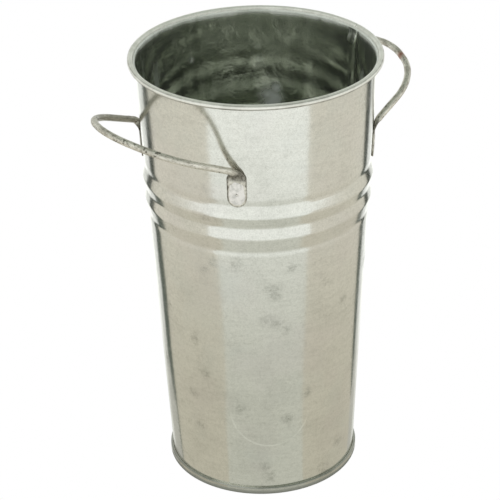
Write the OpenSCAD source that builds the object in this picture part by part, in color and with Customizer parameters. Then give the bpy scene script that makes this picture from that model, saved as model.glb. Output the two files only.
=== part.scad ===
// Galvanised florist bucket: a tapered sheet-steel wall with two rolled beads, a wired
// rim, a double-seamed base and two wire handles spot-welded to the outside.
// Millimetres, +Z up. The origin is the centre of the base, on the surface it stands on.
// The handles are on the X axis, and the wall's lock seam is on the +X side.

/* [Wall] */
// Height from the surface it stands on to the top of the rim
height = 252; // [230:1:400]
// Outer diameter across the rolled rim
rim_d = 140; // [136:1:150]
// Outer diameter of the wall where it enters the base seam
wall_d_low = 106.6; // [100:0.2:112]
// Outer diameter of the wall just under the rim's flare
wall_d_high = 132.5; // [128:0.1:134]
// Thickness of the galvanised sheet
sheet_t = 0.5; // [0.4:0.05:0.6]
// Outer diameter of the rim's curl
curl_d = 3.3; // [3:0.1:4]
// Height over which the wall flares out to meet the curl
flare_h = 3; // [3:0.5:8]

/* [Beads] */
// Height at which the two rolled beads begin
bead_z = 158.8; // [60:0.1:159]
// Height that the two beads take up together
bead_h = 34.5; // [32:0.1:34.7]
// Height of the lower ridge above their beginning
lower_ridge_h = 11.1; // [8:0.1:14]
// Height of the upper ridge above their beginning
upper_ridge_h = 24.2; // [20:0.1:26]
// How far the lower and the upper ridge stand out of the straight wall
ridge_out = [1.2, 1.5]; // [0.8:0.1:2]
// How far the crease between the ridges stands out
crease_out = 0.2; // [0:0.1:0.5]
// Depths of the shallow grooves below and above the beads
groove_in = [0.2, 0.3]; // [0.1:0.1:0.4]
// Heights over which the wall turns in to each groove
groove_h = [2.7, 3.6]; // [2:0.1:4]

/* [Lock seam] */
// Width of the folded seam inside the wall
seam_w = 7.8; // [5:0.1:12]
// Layers of sheet that the fold adds on the inside
seam_layers = 3; // [2:1:3]
// Angle of the seam round from the X axis
seam_angle = -5; // [-30:1:30]

/* [Base] */
// Height of the double seam that forms the foot
foot_h = 4.6; // [4:0.1:8]
// Rounding of the foot's lower outer edge
foot_round = 1.3; // [1.3:0.1:1.8]
// Width of the flat ring that the bucket stands on
foot_land = 3.5; // [2.5:0.1:6]
// How far the middle of the base is raised above that ring
base_recess = 2; // [1:0.1:4]
// Size of the fillet of sealant between the base and the wall
sealant_w = 1.6; // [0.8:0.1:2.5]

/* [Handles] */
// Diameter of the handle wire
wire_d = 3.8; // [3:0.1:4.5]
// Angle from the X axis to each end of a handle
tab_angle = 41.3; // [38:0.1:44]
// Height at which the wire leaves the wall
bend_z = 212; // [208:0.5:214]
// Angle at which the handle rises from the horizontal
handle_rise = 23.3; // [10:0.1:30]
// Left handle: distance from the wire's bends to the crown's corner, along the handle
left_reach = 55.8; // [50:0.1:60]
// Left handle: half the distance between the corners of the two shoulders
left_half_w = 36.3; // [34:0.1:40]
// Right handle: distance from the wire's bends to the crown's corner, along the handle
right_reach = 52.2; // [50:0.1:60]
// Right handle: half the distance between the corners of the two shoulders
right_half_w = 37.6; // [34:0.1:40]
// How far the shoulder corners lie back from the crown's corner
shoulder_back = 15; // [10:0.1:18]
// Bend radius where the wire leaves the wall
root_r = 4.9; // [4:0.1:5.5]
// Bend radius of the shoulders
shoulder_r = 34; // [20:0.5:34]
// Bend radius of the crown
crown_r = 42; // [30:0.5:42]

/* [Flattened wire ends] */
// Width of a flattened end
paddle_w = 10.7; // [8:0.1:12]
// Thickness of a flattened end
paddle_t = 1.1; // [0.8:0.1:1.4]
// Height of a flattened end's lower edge
paddle_z = 190.2; // [190.2:0.1:192]
// Length from that edge to where the wire is round again, part of the way round its bend
paddle_l = 23; // [21:0.1:24]
// Length over which the flattened end narrows and thickens into the round wire
neck_l = 6; // [5:0.1:10]

/* [Weld patches] */
// Width of the zinc touch-up on each spot weld
patch_w = 9.6; // [7:0.1:10]
// Length of the touch-up along the wire end
patch_l = 15.2; // [12:0.1:16]
// Thickness of the touch-up
patch_t = 0.35; // [0.2:0.05:0.5]
// Diameter of the electrode's mark in it
mark_d = 2; // [1:0.1:3]

/* [Hidden] */
$fn = 96;

// Rim and wall. Radii are to the outside of the sheet.
curl_z = height - curl_d / 2;
curl_r = (rim_d - curl_d) / 2;
flare_z = curl_z - flare_h;
slope = (wall_d_high - wall_d_low) / 2 / (flare_z - foot_h);
slope_angle = atan(slope);
function wall_r(z) = wall_d_low / 2 + slope * (z - foot_h);

// The foot's layers, from the wall outwards: base hem, wall flange, base edge.
hem_r = wall_d_low / 2;
flange_r = hem_r + sheet_t;
edge_r = flange_r + sheet_t;
foot_r = edge_r + sheet_t;
land_r = hem_r - foot_land;

// Thickness of the sealant at the edges of its fillet
sealant_edge = 0.2;

// Height at which the base's edge starts to fold over the flange
fold_z = foot_h - 1.5 * sheet_t;

// Points round the wire, and steps along each arc and the straight end of the half handle
ring_n = 16;
root_n = 8;
shoulder_n = 9;
crown_n = 5;
straight_n = 4;

// Angles round the end of a flattened end at which it has a ring
tip_angles = [12, 26, 42, 60, 78];

// Exponent that squares up the round wire's section where it is flat
flat_power = 0.4;

// How far the touch-up's outline is cut to each side of the wall's surface
outline_reach = 3;

steel = [0.76, 0.76, 0.71];
wire_steel = [0.66, 0.65, 0.60];
zinc_paint = [0.88, 0.86, 0.83];
sealant_grey = [0.42, 0.43, 0.42];

// Corners of the beads' outline, each [height above their beginning, distance out of the wall]
bead_corners = [
    [0, 0],
    [groove_h[0], -groove_in[0]],
    [lower_ridge_h, ridge_out[0]],
    [(lower_ridge_h + upper_ridge_h) / 2, crease_out],
    [upper_ridge_h, ridge_out[1]],
    [bead_h - groove_h[1], -groove_in[1]],
    [bead_h, 0]
];

// Area between the axis and the straight wall from z0 to z1, moved out by grow
module wall_area(grow, z0, z1) {
    polygon([[0, z0], [wall_r(z0) + grow, z0], [wall_r(z1) + grow, z1], [0, z1]]);
}

// Everything inside the wall's beaded surface, moved in by inset
module beaded_area(inset) {
    polygon(concat(
        [[0, foot_h], [wall_r(foot_h) - inset, foot_h]],
        [for (c = bead_corners) [wall_r(bead_z + c[0]) + c[1] - inset, bead_z + c[0]]],
        [[wall_r(flare_z) - inset, flare_z], [0, flare_z]]
    ));
}

// The flare that carries the wall out to the curl, with the curl itself
module rim_area() {
    inner_r = curl_r - curl_d / 2;
    polygon([
        [wall_r(flare_z) - sheet_t, flare_z], [wall_r(flare_z), flare_z],
        [inner_r + sheet_t, curl_z], [inner_r, curl_z]
    ]);
    translate([curl_r, curl_z]) difference() {
        circle(d = curl_d);
        circle(d = curl_d - 2 * sheet_t);
    }
}

// Area inside an edge that is turned up at radius r from height z, to height top
module turned_up(r, z, bend, top) {
    translate([land_r, z]) square([r - bend - land_r, top - z]);
    translate([land_r, z + bend]) square([r - land_r, top - z - bend]);
    translate([r - bend, z + bend]) circle(r = bend);
}

// The wall's lower edge, turned out and folded up inside the base's hem
module flange_area() {
    inner_r = hem_r - sheet_t;
    translate([inner_r, sheet_t]) square([sheet_t, foot_h - sheet_t]);
    difference() {
        turned_up(edge_r, sheet_t, foot_round - sheet_t, fold_z);
        turned_up(flange_r, 2 * sheet_t, foot_round - 2 * sheet_t, foot_h);
        square([inner_r, foot_h]);
    }
}

// Folded sheet standing in from the wall, beside the +X axis
module lock_seam() {
    depth = seam_layers * sheet_t;
    intersection() {
        rotate_extrude() difference() {
            beaded_area(sheet_t);
            beaded_area(sheet_t + depth);
        }
        rotate([0, 0, seam_angle]) translate([0, -seam_w / 2, foot_h])
            cube([rim_d, seam_w, flare_z - foot_h]);
    }
}

module wall() {
    color(steel) {
        rotate_extrude() {
            difference() {
                beaded_area(0);
                beaded_area(sheet_t);
            }
            rim_area();
            flange_area();
        }
        lock_seam();
    }
}

module rim_wire() {
    color(wire_steel) rotate_extrude() translate([curl_r, curl_z])
        circle(d = curl_d - 2 * sheet_t);
}

// Area of the base's edge, folded up, over the wall's flange and down again
module base_edge_area() {
    difference() {
        union() {
            turned_up(foot_r, 0, foot_round, fold_z);
            translate([flange_r + sheet_t / 2, fold_z]) circle(r = 1.5 * sheet_t);
        }
        difference() {
            union() {
                turned_up(edge_r, sheet_t, foot_round - sheet_t, fold_z);
                translate([flange_r + sheet_t / 2, fold_z]) circle(r = sheet_t / 2);
            }
            translate([hem_r, 2 * sheet_t]) square([sheet_t, foot_h]);
        }
        translate([land_r - sheet_t, sheet_t]) square([hem_r - land_r + sheet_t, foot_h]);
    }
}

// Disc with a raised middle, a flat ring to stand on and a folded edge
module base_pan() {
    step_r = land_r - base_recess;
    inner_r = hem_r - sheet_t;
    color(steel) rotate_extrude() {
        polygon([
            [0, base_recess], [step_r, base_recess], [land_r, 0], [inner_r, 0],
            [inner_r, sheet_t], [land_r, sheet_t], [step_r, base_recess + sheet_t],
            [0, base_recess + sheet_t]
        ]);
        base_edge_area();
    }
}

// Hollow fillet in the corner between the wall and the base
module base_sealant() {
    corner_r = hem_r - sheet_t;
    color(sealant_grey) rotate_extrude() translate([corner_r - sealant_w, sheet_t]) difference() {
        square(sealant_w);
        translate([0, sealant_w]) circle(r = sealant_w - sealant_edge);
        translate([-sealant_edge, sealant_edge]) square([sealant_w / 2, sealant_w]);
        translate([sealant_w / 2, sealant_w]) square([sealant_w / 2 - sealant_edge, sealant_w]);
    }
}

function unit(v) = v / norm(v);
function turn(p, v, q) = acos(unit(v - p) * unit(q - v));
function mix(from, to, t) = from + (to - from) * t;
function ease(t) = t <= 0 ? 0 : t >= 1 ? 1 : t * t * (3 - 2 * t);
function signed_pow(v, e) = sign(v) * pow(abs(v), e);

// Directions at the wall where a handle's end is: out of the wall, up it and round it
wall_out = [cos(tab_angle) * cos(slope_angle), sin(tab_angle) * cos(slope_angle), -sin(slope_angle)];
wall_round = [-sin(tab_angle), cos(tab_angle), 0];
wall_up = cross(wall_out, wall_round);
function on_wall(z) = [wall_r(z) * cos(tab_angle), wall_r(z) * sin(tab_angle), z];

// Each handle's shape: its reach and half the distance between its shoulders
left_shape = [left_reach, left_half_w];
right_shape = [right_reach, right_half_w];

// Corners of half a handle, from its end on the wall to the middle of its crown, and then
// the next corner on the far side
bend_corner = on_wall(bend_z) + wall_out * wire_d / 2;
function in_handle(half_w, along) =
    [bend_corner[0] + along * cos(handle_rise), half_w, bend_z + along * sin(handle_rise)];
function shoulder(shape) = in_handle(shape[1], shape[0] - shoulder_back);
function crown(shape) = in_handle(0, shape[0]);
function far_shoulder(shape) = in_handle(-shape[1], shape[0] - shoulder_back);

// A bend of radius r at corner v, as [point, direction] pairs, up to a share of its turn
function bend(p, v, q, r, n, share) =
    let (
        along = unit(v - p),
        out = unit(q - v),
        inward = unit(out - (along * out) * along),
        whole = turn(p, v, q),
        centre = v - along * r * tan(whole / 2) + inward * r
    )
    [for (i = [0 : n]) let (t = i / n * share * whole) [
        centre + r * (along * sin(t) - inward * cos(t)),
        along * cos(t) + inward * sin(t)
    ]];

// How flat the wire is at a distance u above its lower end, from 0 for round to 1
function flatness(u) = 1 - ease((u - paddle_l + neck_l) / neck_l);

// Half the wire's width at u. The lower end is round in outline.
tip_r = paddle_w / 2;
function half_width(u) =
    let (full = mix(wire_d / 2, tip_r, flatness(u)))
    u >= tip_r ? full : full * sqrt(1 - pow(1 - u / tip_r, 2));
function half_thick(u) = mix(wire_d / 2, paddle_t / 2, flatness(u));

// The bend at the wall: its turn, the distance above the lower end at which it begins, and
// its length
path_start = on_wall(paddle_z) + wall_out * wire_d / 2;
function root_turn(shape) = turn(path_start, bend_corner, shoulder(shape));
function root_u(shape) = norm(bend_corner - path_start) - root_r * tan(root_turn(shape) / 2);
function root_l(shape) = root_r * root_turn(shape) * PI / 180;

// Distances above the lower end at which the straight end has a ring
function end_steps(shape) = concat(
    [for (t = tip_angles) tip_r * (1 - cos(t))],
    [for (i = [0 : straight_n - 1]) mix(tip_r, root_u(shape), i / straight_n)]
);

// Places of half the handle's rings, each [centre of the round wire, direction, distance
// above the lower end]
function half_path(shape) =
    let (
        root = bend(path_start, bend_corner, shoulder(shape), root_r, root_n, 1),
        u0 = root_u(shape),
        u1 = u0 + root_l(shape)
    )
    concat(
        [for (u = end_steps(shape)) [path_start + wall_up * u, wall_up, u]],
        [for (i = [0 : root_n]) [root[i][0], root[i][1], mix(u0, u1, i / root_n)]],
        [for (b = concat(
            bend(bend_corner, shoulder(shape), crown(shape), shoulder_r, shoulder_n, 1),
            bend(shoulder(shape), crown(shape), far_shoulder(shape), crown_r, crown_n, 0.5)
        )) [b[0], b[1], u1]]
    );

// Width direction at each place of a path, carried along it without twisting
function path_sides(path) = [for (
    i = 0, side = wall_round;
    i < len(path);
    i = i + 1, side = i < len(path) ? unit(side - (side * path[i][1]) * path[i][1]) : side
) side];

// Points round the ring at a place of the path: a circle that squares up as it flattens
// against the wall's side, and follows the wall
function ring(place, side) =
    let (
        out = cross(side, place[1]),
        u = place[2],
        centre = place[0] + out * (half_thick(u) - wire_d / 2),
        power = mix(1, flat_power, flatness(u))
    )
    [for (k = [0 : ring_n - 1])
        let (
            w = half_width(u) * signed_pow(cos(k * 360 / ring_n), power),
            h = half_thick(u) * signed_pow(sin(k * 360 / ring_n), power),
            sag = flatness(u) * w * w / (2 * wall_r(paddle_z))
        )
        centre + side * w + out * (h - sag)
    ];

function other_half(points) = [for (p = points) [p[0], -p[1], p[2]]];

// Handle on the +X side, swept as one tube from one flattened end to the other
module handle(shape) {
    path = half_path(shape);
    sides = path_sides(path);
    half = [for (i = [0 : len(path) - 1]) ring(path[i], sides[i])];
    rings = concat(half, [for (i = [len(half) - 2 : -1 : 0]) other_half(half[i])]);
    last = len(rings) - 1;
    color(wire_steel) polyhedron(
        points = [for (r = rings) each r],
        faces = concat(
            [[for (k = [ring_n - 1 : -1 : 0]) k]],
            [[for (k = [0 : ring_n - 1]) last * ring_n + k]],
            [for (i = [0 : last - 1]) for (k = [0 : ring_n - 1])
                let (a = i * ring_n + k, b = i * ring_n + (k + 1) % ring_n)
                each [[a, b, b + ring_n], [a, b + ring_n, a + ring_n]]
            ]
        )
    );
}

// Places its children on the wall at an angle and height, with z standing out of the wall
// and x pointing down it
module against_wall(angle, z) {
    rotate([0, 0, angle]) translate([wall_r(z), 0, z]) rotate([0, 90 + slope_angle, 0]) children();
}

// Layer lying on the wall, from lift to lift + thick above its surface
module wall_layer(lift, thick) {
    z0 = paddle_z - paddle_w;
    z1 = bend_z + paddle_w;
    rotate_extrude() difference() {
        wall_area(lift + thick, z0, z1);
        wall_area(lift, z0, z1);
    }
}

module handle_right() {
    handle(right_shape);
}

module handle_left() {
    rotate([0, 0, 180]) handle(left_shape);
}

// Long round-ended outline that reaches up the wall from its lower end
module patch_outline() {
    r = patch_w / 2;
    for (x = [-r, r - patch_l]) translate([x, 0]) circle(r = r);
    translate([r - patch_l, -r]) square([patch_l - patch_w, patch_w]);
}

// Zinc touch-up over one spot weld, with the electrode's mark in its middle
module weld(angle) {
    lower = paddle_z + (paddle_w - patch_w) / 2;
    surface = paddle_t + patch_t;
    color(zinc_paint) difference() {
        intersection() {
            against_wall(angle, lower) translate([0, 0, -outline_reach])
                linear_extrude(2 * outline_reach) patch_outline();
            wall_layer(paddle_t, patch_t);
        }
        against_wall(angle, lower + patch_l / 2) translate([0, 0, surface + mark_d / 2 - patch_t / 2])
            sphere(d = mark_d);
    }
}

module weld_right_front() {
    weld(-tab_angle);
}

module weld_right_back() {
    weld(tab_angle);
}

module weld_left_front() {
    weld(180 + tab_angle);
}

module weld_left_back() {
    weld(180 - tab_angle);
}

wall();
rim_wire();
base_pan();
base_sealant();
handle_left();
handle_right();
weld_left_front();
weld_left_back();
weld_right_front();
weld_right_back();
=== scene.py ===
"""Looks for the galvanised florist bucket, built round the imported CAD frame.

Shapes are worked out in millimetres and made in metres. The handles are on the X axis and
the wall's lock seam is on the +X side, as in the CAD frame.
"""

import math

import bpy
import numpy as np
from mathutils import Matrix, Vector, noise


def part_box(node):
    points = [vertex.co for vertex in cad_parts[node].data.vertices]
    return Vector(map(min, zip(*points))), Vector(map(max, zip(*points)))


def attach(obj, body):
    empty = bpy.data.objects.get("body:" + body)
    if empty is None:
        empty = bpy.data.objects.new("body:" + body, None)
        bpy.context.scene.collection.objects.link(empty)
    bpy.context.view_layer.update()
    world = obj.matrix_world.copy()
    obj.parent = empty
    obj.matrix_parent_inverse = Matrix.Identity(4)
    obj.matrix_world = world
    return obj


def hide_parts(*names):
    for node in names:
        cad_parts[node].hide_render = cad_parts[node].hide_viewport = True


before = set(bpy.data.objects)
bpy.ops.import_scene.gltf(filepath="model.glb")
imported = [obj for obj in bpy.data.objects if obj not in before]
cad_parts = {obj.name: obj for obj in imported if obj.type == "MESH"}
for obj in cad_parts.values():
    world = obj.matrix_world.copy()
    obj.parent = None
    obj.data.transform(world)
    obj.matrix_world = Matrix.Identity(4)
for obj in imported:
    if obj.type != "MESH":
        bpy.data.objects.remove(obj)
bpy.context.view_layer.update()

MM = 0.001


def mm_box(node):
    """A CAD node's corners, in millimetres."""
    low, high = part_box(node)
    return np.array(low) / MM, np.array(high) / MM


# --- Dimensions, from the frame where it gives them -----------------------------------

_, wall_high = mm_box("wall")
_, pan_high = mm_box("base_pan")
curl_wire_low, curl_wire_high = mm_box("rim_wire")

RIM_R = wall_high[1]
TOP_Z = wall_high[2]
FOOT_R = pan_high[1]
FOOT_H = pan_high[2]

SHEET = 0.5
CURL_R = TOP_Z - (curl_wire_low[2] + curl_wire_high[2]) / 2
CURL_MID_R = RIM_R - CURL_R
CURL_Z = TOP_Z - CURL_R
FLARE_Z = CURL_Z - 0.7

# The foot's layers, from the outside in: base edge, wall flange, base hem, wall
EDGE_R = FOOT_R - SHEET
FLANGE_R = EDGE_R - SHEET
HEM_R = FLANGE_R - SHEET
LAND_R = HEM_R - 3.5
FOOT_ROUND = 1.3
BASE_RECESS = 2.0
FOLD_Z = FOOT_H - 1.5 * SHEET
SEALANT_W = 1.6

WALL_HIGH_R, WALL_HIGH_Z = 66.25, CURL_Z - 3.0
SLOPE = (WALL_HIGH_R - HEM_R) / (WALL_HIGH_Z - FOOT_H)

# The beads' outline: heights above their beginning, and distances out of the straight wall
BEAD_Z = 158.8
BEAD_CORNERS = ((0, 0), (2.7, -0.2), (11.1, 1.2), (17.65, 0.2), (24.2, 1.5), (30.9, -0.3), (34.5, 0))
BEAD_ROUNDING = 0.75

SEAM_ANGLE = math.radians(-5)
SEAM_W = 7.8
SEAM_DEPTH = 3 * SHEET
# Height over which the seam's end fades out under the rim
SEAM_FADE = 7.0
# The lines of the grooving tool outside, this far to each side of the seam's middle
TOOL_LINE = 3.9

WIRE_R = 1.9
TAB_ANGLE = math.radians(41.3)
BEND_Z = 212.0
HANDLE_RISE = math.radians(23.3)
# Each handle's reach, and half the distance between its shoulders
LEFT_SHAPE, RIGHT_SHAPE = (55.8, 36.3), (52.2, 37.6)
SHOULDER_BACK = 15.0
ROOT_R, SHOULDER_R, CROWN_R = 4.9, 34.0, 42.0

PADDLE_W, PADDLE_T, PADDLE_L = 10.7, 1.1, 23.0
PADDLE_Z = 190.2
NECK_L = 6.0
PATCH_W, PATCH_L, PATCH_T = 9.6, 15.2, 0.35
PATCH_LOW = PADDLE_Z + (PADDLE_W - PATCH_W) / 2
# The electrode's mark in the patch: its radius, depth, and distance below the middle
MARK_R, MARK_DEPTH, MARK_DROP = 1.1, 0.30, 0.8

# Columns of points round the bucket, besides those at the seam, and round the wire
COLUMNS = 300
AROUND = 32


# --- Meshes ----------------------------------------------------------------------------

def ease(t):
    """0 to 1 along a smooth step."""
    t = np.clip(t, 0.0, 1.0)
    return t * t * (3 - 2 * t)


def mix(a, b, t):
    """From a at 0 to b at 1."""
    return a + (b - a) * t


def unit(v):
    """A vector's direction."""
    return v / np.linalg.norm(v)


def bump(x, width):
    """1 at 0, falling away on both sides over a width."""
    return math.exp(-(x / width) ** 2)


def add_mesh(name, points, faces, material, replaced=()):
    """Makes a smooth-shaded piece from points in millimetres, riding on the bucket."""
    mesh = bpy.data.meshes.new(name)
    mesh.from_pydata([tuple(p * MM) for p in points], [], faces)
    mesh.polygons.foreach_set("use_smooth", [True] * len(mesh.polygons))
    mesh.materials.append(material)
    mesh.validate()
    mesh.update()
    piece = bpy.data.objects.new(name, mesh)
    bpy.context.scene.collection.objects.link(piece)
    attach(piece, "root")
    if replaced:
        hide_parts(*replaced)
    return piece


def grid_faces(rows, columns, close_rows=False, close_columns=True):
    """Quads between rows of points."""
    faces = []
    for j in range(rows if close_rows else rows - 1):
        for i in range(columns if close_columns else columns - 1):
            a, b = j * columns + i, j * columns + (i + 1) % columns
            c, d = (j + 1) % rows * columns + (i + 1) % columns, (j + 1) % rows * columns + i
            faces.append((a, b, c, d))
    return faces


def arc(centre, radius, start, end, steps):
    """Points (r, z) along an arc, with angles in degrees."""
    angles = np.radians(np.linspace(start, end, steps))
    return [(centre[0] + radius * math.cos(a), centre[1] + radius * math.sin(a)) for a in angles]


# Places across the seam, in millimetres, close together where its edges are
SEAM_STEPS = (-6, -5, -4.4, -4.15, -4, -3.9, -3.8, -3.6, -3.2, -2.9, -2.6, -1.6, -0.8, -0.4,
              -0.2, 0, 0.2, 0.4, 0.8, 1.6, 2.6, 3.3, 3.6, 3.8, 3.9, 4, 4.15, 4.4, 5, 6)


def column_places(radius):
    """Each column's (angle, distance across from the seam) at a radius."""
    edge = SEAM_STEPS[-1] / radius
    rest = np.linspace(edge, 2 * math.pi - edge, COLUMNS + 2)[1:-1]
    places = [(SEAM_ANGLE + s / radius, s) for s in SEAM_STEPS]
    return places + [(SEAM_ANGLE + a, None) for a in rest]


def lathe(profile, shift):
    """Points of a profile turned round Z. shift(row, angle, across) moves a point (r, z)."""
    points = []
    for row, (r, z) in enumerate(profile):
        for angle, across in column_places(max(r, 20.0)):
            dr, dz = shift(row, angle, across)
            points.append(((r + dr) * math.cos(angle), (r + dr) * math.sin(angle), z + dz))
    return np.array(points)


def wobble(angle, z):
    """The wall's slight unevenness, which fades out at the foot and the rim."""
    still = 8
    fade = ease((z - still) / 30) * ease((TOP_Z - still - z) / 20)
    oval = 0.11 * math.sin(2 * angle + 0.7 + 0.012 * z)
    three_sided = 0.07 * math.sin(3 * angle + 1.9 - 0.021 * z)
    return fade * (oval + three_sided + 0.035 * math.sin(7 * angle + 0.05 * z))


# --- Wall ------------------------------------------------------------------------------

def wall_r(z):
    """The straight wall's outer radius at a height."""
    return HEM_R + SLOPE * (z - FOOT_H)


def beaded_r(z):
    """The wall's outer radius at a height, with the beads' corners rounded off."""
    heights, outs = zip(*BEAD_CORNERS)
    near = np.linspace(-BEAD_ROUNDING, BEAD_ROUNDING, 9)
    out = np.interp(z - BEAD_Z + near, heights, outs, left=0, right=0).mean()
    return wall_r(z) + out


def wall_heights():
    """Heights of the wall's rows, close together over the beads."""
    top = BEAD_Z + BEAD_CORNERS[-1][0]
    low = np.linspace(FOOT_H, BEAD_Z - 2, 36)
    beads = np.linspace(BEAD_Z - 1.2, top + 1.2, 96)
    high = np.linspace(top + 2, WALL_HIGH_Z - 1, 30)
    last = np.linspace(WALL_HIGH_Z - 0.5, FLARE_Z, 7)
    return np.concatenate([low, beads, high, last])


def flare_points(surface):
    """The flare from the wall to the curl, for the surface's inset from the outside."""
    inner = CURL_MID_R - CURL_R
    points = []
    for t in np.linspace(0, 1, 9)[1:-1]:
        r = mix(wall_r(FLARE_Z), inner + SHEET, ease(t))
        points.append((r - surface, mix(FLARE_Z, CURL_Z, t)))
    return points


def wall_profile():
    """Closed outline (r, z) of the sheet with a label for each point."""
    heights = wall_heights()
    corner_r = 0.8
    bottom = [(HEM_R - SHEET, SHEET), (EDGE_R - corner_r, SHEET)]
    corner = arc((EDGE_R - corner_r, SHEET + corner_r), corner_r, -90, 0, 5)[1:]
    flange = corner + [(EDGE_R, FOLD_Z), (FLANGE_R, FOLD_Z), (FLANGE_R, 2 * SHEET), (HEM_R, 2 * SHEET)]
    rows = [(p, "hidden") for p in bottom + flange]
    rows += [((beaded_r(z), z), "outside") for z in heights]
    rows += [(p, "outside") for p in flare_points(0)]
    curl_end = -152
    rows += [(p, "curl_in") for p in arc((CURL_MID_R, CURL_Z), CURL_R - SHEET, 180, curl_end, 28)]
    rows += [(p, "curl_out") for p in arc((CURL_MID_R, CURL_Z), CURL_R, curl_end, 180, 44)]
    rows += [(p, "lip") for p in flare_points(SHEET)[::-1]]
    rows += [((beaded_r(z) - SHEET, z), "inside") for z in heights[::-1]]
    return rows


def seam_inside(across):
    """How far the folded seam stands in from the sheet at a place across it."""
    half = SEAM_W / 2
    body = ease((half - abs(across)) / 0.28)
    fold = 1.0 - 0.3 * ease((across + half) / 0.2) * ease((-2.7 - across) / 0.25)
    return SEAM_DEPTH * body * fold - 0.12 * bump(across - 1.1, 0.9)


def seam_outside(across):
    """Depth of the lines that the grooving tool leaves outside."""
    return 0.32 * bump(across - TOOL_LINE, 0.32) + 0.14 * bump(across + TOOL_LINE, 0.35)


def make_wall(materials):
    """The sheet: tapered, beaded and seamed, with its top edge curled outwards."""
    rows = wall_profile()
    profile = [p for p, _ in rows]
    labels = [label for _, label in rows]
    curl_centre = np.array([CURL_MID_R, CURL_Z])
    seam_top = CURL_Z - 0.8

    def shift(row, angle, across):
        label, (r, z) = labels[row], profile[row]
        dr = 0.0 if label in ("hidden", "curl_in", "curl_out") else wobble(angle, z)
        dz = 0.0
        if across is not None and label == "inside":
            dr -= seam_inside(across) * ease((seam_top - z) / SEAM_FADE) * ease((z - FOOT_H) / 2)
        if across is not None and label == "outside":
            dr -= seam_outside(across) * ease((WALL_HIGH_Z - z) / 4) * ease((z - FOOT_H) / 3)
        if label == "curl_out":
            # A dip where the seam passes through the curl, and slight waves along it
            notch = 0.42 * bump(across, 0.42) if across is not None else 0.0
            notch += 0.012 + 0.012 * math.sin(9 * angle) * math.sin(4 * angle + 1)
            pull = (curl_centre - np.array([r, z])) * notch
            dr, dz = dr + pull[0], dz + pull[1]
        return dr, dz

    columns = len(SEAM_STEPS) + COLUMNS
    faces = grid_faces(len(rows), columns, close_rows=True)
    wall = add_mesh("wall_sheet", lathe(profile, shift), faces, materials["sheet"],
                    ("wall",))
    wall.data.materials.append(materials["inside"])
    wall.data.materials.append(materials["rim"])
    material_of = {"inside": 1, "lip": 1, "curl_out": 2}
    for face in wall.data.polygons:
        face.material_index = material_of.get(labels[face.index // columns], 0)
    add_painted_shade_and_lines(wall, wall_painted_shade_and_lines(profile, labels))
    return wall


def add_painted_shade_and_lines(piece, values):
    """Stores how dark each point of a piece is painted: dark lines and painted shade."""
    layer = piece.data.attributes.new("painted_shade_and_dark_lines", "FLOAT", "POINT")
    layer.data.foreach_set("value", np.array(values, dtype=np.float32))


def rim_line_and_painted_shade(r, z):
    """A dark line along the curl's outer top, and painted shade on its underside, where it meets the
    wall.
    """
    angle = math.degrees(math.atan2(z - CURL_Z, r - CURL_MID_R))
    # Painted shade under the curl, where it meets the wall
    under = 0.9 * float(ease((-4 - angle) / 22)) * float(angle > -140)
    return 0.75 * bump(angle - 42, 11) + under


def seam_painted_shade(z, across):
    """Painted shade in the corner beside the seam's step, and painted shade darkening the seam's end
    under the rim.
    """
    over_seam = ease((across + 2.9) / 0.3) * ease((4.6 - across) / 0.4)
    end_face = 0.95 * ease((z - CURL_Z + 10) / 2) * over_seam
    return 0.95 * bump(across + 4.5, 0.6) + float(end_face)


def wall_painted_shade_and_lines(profile, labels):
    """How dark each point of the wall is painted, row by row: a dark line and painted shade on the
    curl, painted shade at the seam.
    """
    painted_shade_and_dark_lines = []
    for (r, z), label in zip(profile, labels):
        for _, across in column_places(max(r, 20.0)):
            value = rim_line_and_painted_shade(r, z) if label == "curl_out" else 0.0
            if label == "inside" and across is not None:
                value = seam_painted_shade(z, across)
            painted_shade_and_dark_lines.append(value)
    return painted_shade_and_dark_lines


# --- Base ------------------------------------------------------------------------------

def pan_profile():
    """Closed outline (r, z) of the base with its folded edge."""
    step_round, land_round = 1.2, 0.9
    flat_r = LAND_R - BASE_RECESS - step_round
    step = (flat_r, BASE_RECESS - step_round)
    land = (LAND_R + 0.4, land_round)
    corner = (FOOT_R - FOOT_ROUND, FOOT_ROUND)
    fold = (FLANGE_R + SHEET / 2, FOLD_Z)
    under = [(r, BASE_RECESS) for r in (2.0, 20, 40, flat_r)]
    under += arc(step, step_round, 78, 45, 4)
    under += arc(land, land_round, 225, 270, 5)
    outside = arc(corner, FOOT_ROUND, -90, 0, 10) + [(FOOT_R, FOLD_Z - 0.3)]
    outside += arc(fold, 1.5 * SHEET, 0, 180, 14)
    outside += [(HEM_R, 2 * SHEET), (FLANGE_R, 2 * SHEET)]
    inside = arc(fold, SHEET / 2, 180, 0, 6) + arc(corner, FOOT_ROUND - SHEET, 0, -90, 6)
    top = arc(land, land_round - SHEET, 270, 225, 5)
    top += arc(step, step_round + SHEET, 45, 78, 5)
    top += [(r, BASE_RECESS + SHEET) for r in (flat_r, 40, 20, 2.0)]
    return under + outside + inside + top


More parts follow.
